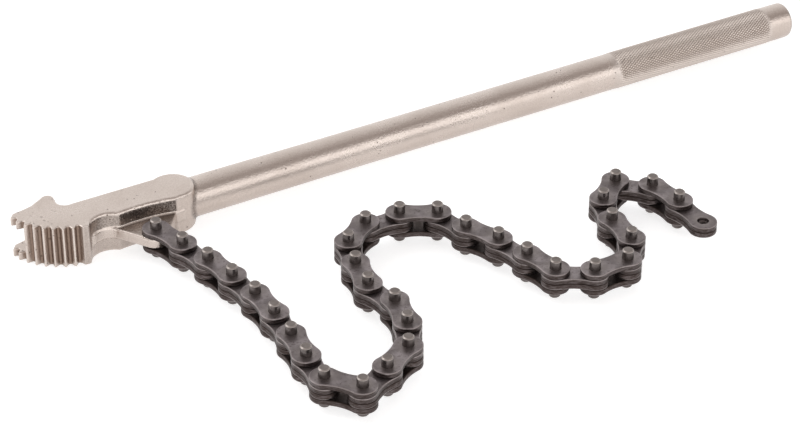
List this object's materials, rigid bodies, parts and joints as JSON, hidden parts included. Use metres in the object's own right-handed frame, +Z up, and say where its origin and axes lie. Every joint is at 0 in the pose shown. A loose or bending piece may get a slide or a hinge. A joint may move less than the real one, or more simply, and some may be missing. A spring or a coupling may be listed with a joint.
{
  "type": "chain wrench",
  "caption": "Oil filter chain wrench lying on its side: a forged serrated head with hook ears on a knurled round bar, and a leaf chain pinned to the head's lug.",
  "frame": {"origin": "on the head's flat underside, directly below the bar's axis and square to the first chain pin", "axes": "+X from the head along the bar to its far end, +Z up from the surface that the wrench lies on, and the chain lies on the -Y side"},
  "size_m": [0.3922, 0.1829, 0.019],
  "materials": {
    "forging": "satin, shot blasted and plated warm grey",
    "outer_plate": "oiled dark oxide with bright worn edges",
    "pin": "dark oxide with bright worn ends",
    "inner_plate": "oiled dark oxide with bright worn edges"
  },
  "bodies": {
    "forged_body": {"forged_body": "forging"},
    "outer_link_01": {"outer_plates_01": "outer_plate", "pins_01": "pin"},
    "inner_link_01": {"inner_leaves_01": "inner_plate"},
    "outer_link_02": {"outer_plates_02": "outer_plate", "pins_02": "pin"},
    "inner_link_02": {"inner_leaves_02": "inner_plate"},
    "outer_link_03": {"outer_plates_03": "outer_plate", "pins_03": "pin"},
    "inner_link_03": {"inner_leaves_03": "inner_plate"},
    "outer_link_04": {"outer_plates_04": "outer_plate", "pins_04": "pin"},
    "inner_link_04": {"inner_leaves_04": "inner_plate"},
    "outer_link_05": {"outer_plates_05": "outer_plate", "pins_05": "pin"},
    "inner_link_05": {"inner_leaves_05": "inner_plate"},
    "outer_link_06": {"outer_plates_06": "outer_plate", "pins_06": "pin"},
    "inner_link_06": {"inner_leaves_06": "inner_plate"},
    "outer_link_07": {"outer_plates_07": "outer_plate", "pins_07": "pin"},
    "inner_link_07": {"inner_leaves_07": "inner_plate"},
    "outer_link_08": {"outer_plates_08": "outer_plate", "pins_08": "pin"},
    "inner_link_08": {"inner_leaves_08": "inner_plate"},
    "outer_link_09": {"outer_plates_09": "outer_plate", "pins_09": "pin"},
    "inner_link_09": {"inner_leaves_09": "inner_plate"},
    "outer_link_10": {"outer_plates_10": "outer_plate", "pins_10": "pin"},
    "inner_link_10": {"inner_leaves_10": "inner_plate"},
    "outer_link_11": {"outer_plates_11": "outer_plate", "pins_11": "pin"},
    "inner_link_11": {"inner_leaves_11": "inner_plate"},
    "outer_link_12": {"outer_plates_12": "outer_plate", "pins_12": "pin"},
    "inner_link_12": {"inner_leaves_12": "inner_plate"},
    "outer_link_13": {"outer_plates_13": "outer_plate", "pins_13": "pin"},
    "inner_link_13": {"inner_leaves_13": "inner_plate"},
    "outer_link_14": {"outer_plates_14": "outer_plate", "pins_14": "pin"},
    "inner_link_14": {"inner_leaves_14": "inner_plate"},
    "outer_link_15": {"outer_plates_15": "outer_plate", "pins_15": "pin"},
    "inner_link_15": {"inner_leaves_15": "inner_plate"},
    "outer_link_16": {"outer_plates_16": "outer_plate", "pins_16": "pin"},
    "inner_link_16": {"inner_leaves_16": "inner_plate"}
  },
  "joints": [
    {"name": "chain_pin_01", "type": "hinge", "parent": "forged_body", "child": "outer_link_01", "pos_m": [0, -0.0204, 0.0095], "axis": [0, 0, 1], "range_deg": [-52, 18]},
    {"name": "chain_pin_02", "type": "hinge", "parent": "outer_link_01", "child": "inner_link_01", "pos_m": [0.00464, -0.03558, 0.0095], "axis": [0, 0, 1], "range_deg": [-49, 20]},
    {"name": "chain_pin_03", "type": "hinge", "parent": "inner_link_01", "child": "outer_link_02", "pos_m": [0.00848, -0.05098, 0.0095], "axis": [0, 0, 1], "range_deg": [-54, 20]},
    {"name": "chain_pin_04", "type": "hinge", "parent": "outer_link_02", "child": "inner_link_02", "pos_m": [0.01151, -0.06657, 0.0095], "axis": [0, 0, -1], "range_deg": [-19, 41]},
    {"name": "chain_pin_05", "type": "hinge", "parent": "inner_link_02", "child": "outer_link_03", "pos_m": [0.01372, -0.08229, 0.0095], "axis": [0, 0, -1], "range_deg": [-22, 39]},
    {"name": "chain_pin_06", "type": "hinge", "parent": "outer_link_03", "child": "inner_link_03", "pos_m": [0.014, -0.09816, 0.0095], "axis": [0, 0, 1], "range_deg": [-52, 22]},
    {"name": "chain_pin_07", "type": "hinge", "parent": "inner_link_03", "child": "outer_link_04", "pos_m": [0.01289, -0.114, 0.0095], "axis": [0, 0, 1], "range_deg": [-54, 22]},
    {"name": "chain_pin_08", "type": "hinge", "parent": "outer_link_04", "child": "inner_link_04", "pos_m": [0.01096, -0.12975, 0.0095], "axis": [0, 0, -1], "range_deg": [-22, 40]},
    {"name": "chain_pin_09", "type": "hinge", "parent": "inner_link_04", "child": "outer_link_05", "pos_m": [0.01012, -0.14561, 0.0095], "axis": [0, 0, 1], "range_deg": [-57, 23]},
    {"name": "chain_pin_10", "type": "hinge", "parent": "outer_link_05", "child": "inner_link_05", "pos_m": [0.0199, -0.15812, 0.0095], "axis": [0, 0, 1], "range_deg": [-68, 22]},
    {"name": "chain_pin_11", "type": "hinge", "parent": "inner_link_05", "child": "outer_link_06", "pos_m": [0.0344, -0.15166, 0.0095], "axis": [0, 0, -1], "range_deg": [-24, 40]},
    {"name": "chain_pin_12", "type": "hinge", "parent": "outer_link_06", "child": "inner_link_06", "pos_m": [0.04829, -0.14396, 0.0095], "axis": [0, 0, 1], "range_deg": [-55, 25]},
    {"name": "chain_pin_13", "type": "hinge", "parent": "inner_link_06", "child": "outer_link_07", "pos_m": [0.05598, -0.13008, 0.0095], "axis": [0, 0, -1], "range_deg": [-34, 40]},
    {"name": "chain_pin_14", "type": "hinge", "parent": "outer_link_07", "child": "inner_link_07", "pos_m": [0.05928, -0.11455, 0.0095], "axis": [0, 0, 1], "range_deg": [-51, 34]},
    {"name": "chain_pin_15", "type": "hinge", "parent": "inner_link_07", "child": "outer_link_08", "pos_m": [0.05598, -0.09902, 0.0095], "axis": [0, 0, -1], "range_deg": [-30, 38]},
    {"name": "chain_pin_16", "type": "hinge", "parent": "outer_link_08", "child": "inner_link_08", "pos_m": [0.05901, -0.08344, 0.0095], "axis": [0, 0, -1], "range_deg": [-29, 33]},
    {"name": "chain_pin_17", "type": "hinge", "parent": "inner_link_08", "child": "outer_link_09", "pos_m": [0.06418, -0.06843, 0.0095], "axis": [0, 0, -1], "range_deg": [-32, 13]},
    {"name": "chain_pin_18", "type": "hinge", "parent": "outer_link_09", "child": "inner_link_09", "pos_m": [0.07734, -0.05955, 0.0095], "axis": [0, 0, -1], "range_deg": [-33, 16]},
    {"name": "chain_pin_19", "type": "hinge", "parent": "inner_link_09", "child": "outer_link_10", "pos_m": [0.09319, -0.06038, 0.0095], "axis": [0, 0, -1], "range_deg": [-38, 25]},
    {"name": "chain_pin_20", "type": "hinge", "parent": "outer_link_10", "child": "inner_link_10", "pos_m": [0.10708, -0.06808, 0.0095], "axis": [0, 0, 1], "range_deg": [-46, 43]},
    {"name": "chain_pin_21", "type": "hinge", "parent": "inner_link_10", "child": "outer_link_11", "pos_m": [0.11172, -0.08326, 0.0095], "axis": [0, 0, 1], "range_deg": [-56, 37]},
    {"name": "chain_pin_22", "type": "hinge", "parent": "outer_link_11", "child": "inner_link_11", "pos_m": [0.11868, -0.09753, 0.0095], "axis": [0, 0, 1], "range_deg": [-55, 9]},
    {"name": "chain_pin_23", "type": "hinge", "parent": "inner_link_11", "child": "outer_link_12", "pos_m": [0.12279, -0.11286, 0.0095], "axis": [0, 0, -1], "range_deg": [-61, 39]},
    {"name": "chain_pin_24", "type": "hinge", "parent": "outer_link_12", "child": "inner_link_12", "pos_m": [0.12663, -0.12827, 0.0095], "axis": [0, 0, 1], "range_deg": [-51, 25]},
    {"name": "chain_pin_25", "type": "hinge", "parent": "inner_link_12", "child": "outer_link_13", "pos_m": [0.14009, -0.13668, 0.0095], "axis": [0, 0, 1], "range_deg": [-60, 16]},
    {"name": "chain_pin_26", "type": "hinge", "parent": "outer_link_13", "child": "inner_link_13", "pos_m": [0.15596, -0.13696, 0.0095], "axis": [0, 0, 1], "range_deg": [-57, 24]},
    {"name": "chain_pin_27", "type": "hinge", "parent": "inner_link_13", "child": "outer_link_14", "pos_m": [0.16617, -0.1248, 0.0095], "axis": [0, 0, 1], "range_deg": [-53, 23]},
    {"name": "chain_pin_28", "type": "hinge", "parent": "outer_link_14", "child": "inner_link_14", "pos_m": [0.16727, -0.10896, 0.0095], "axis": [0, 0, -1], "range_deg": [-54, 38]},
    {"name": "chain_pin_29", "type": "hinge", "parent": "inner_link_14", "child": "outer_link_15", "pos_m": [0.17296, -0.09414, 0.0095], "axis": [0, 0, -1], "range_deg": [-53, 38]},
    {"name": "chain_pin_30", "type": "hinge", "parent": "outer_link_15", "child": "inner_link_15", "pos_m": [0.18564, -0.08458, 0.0095], "axis": [0, 0, 1], "range_deg": [-24, 42]},
    {"name": "chain_pin_31", "type": "hinge", "parent": "inner_link_15", "child": "outer_link_16", "pos_m": [0.19706, -0.09561, 0.0095], "axis": [0, 0, -1], "range_deg": [-50, 40]},
    {"name": "chain_pin_32", "type": "hinge", "parent": "outer_link_16", "child": "inner_link_16", "pos_m": [0.19982, -0.11125, 0.0095], "axis": [0, 0, 1], "range_deg": [-54, 40]}
  ]
}
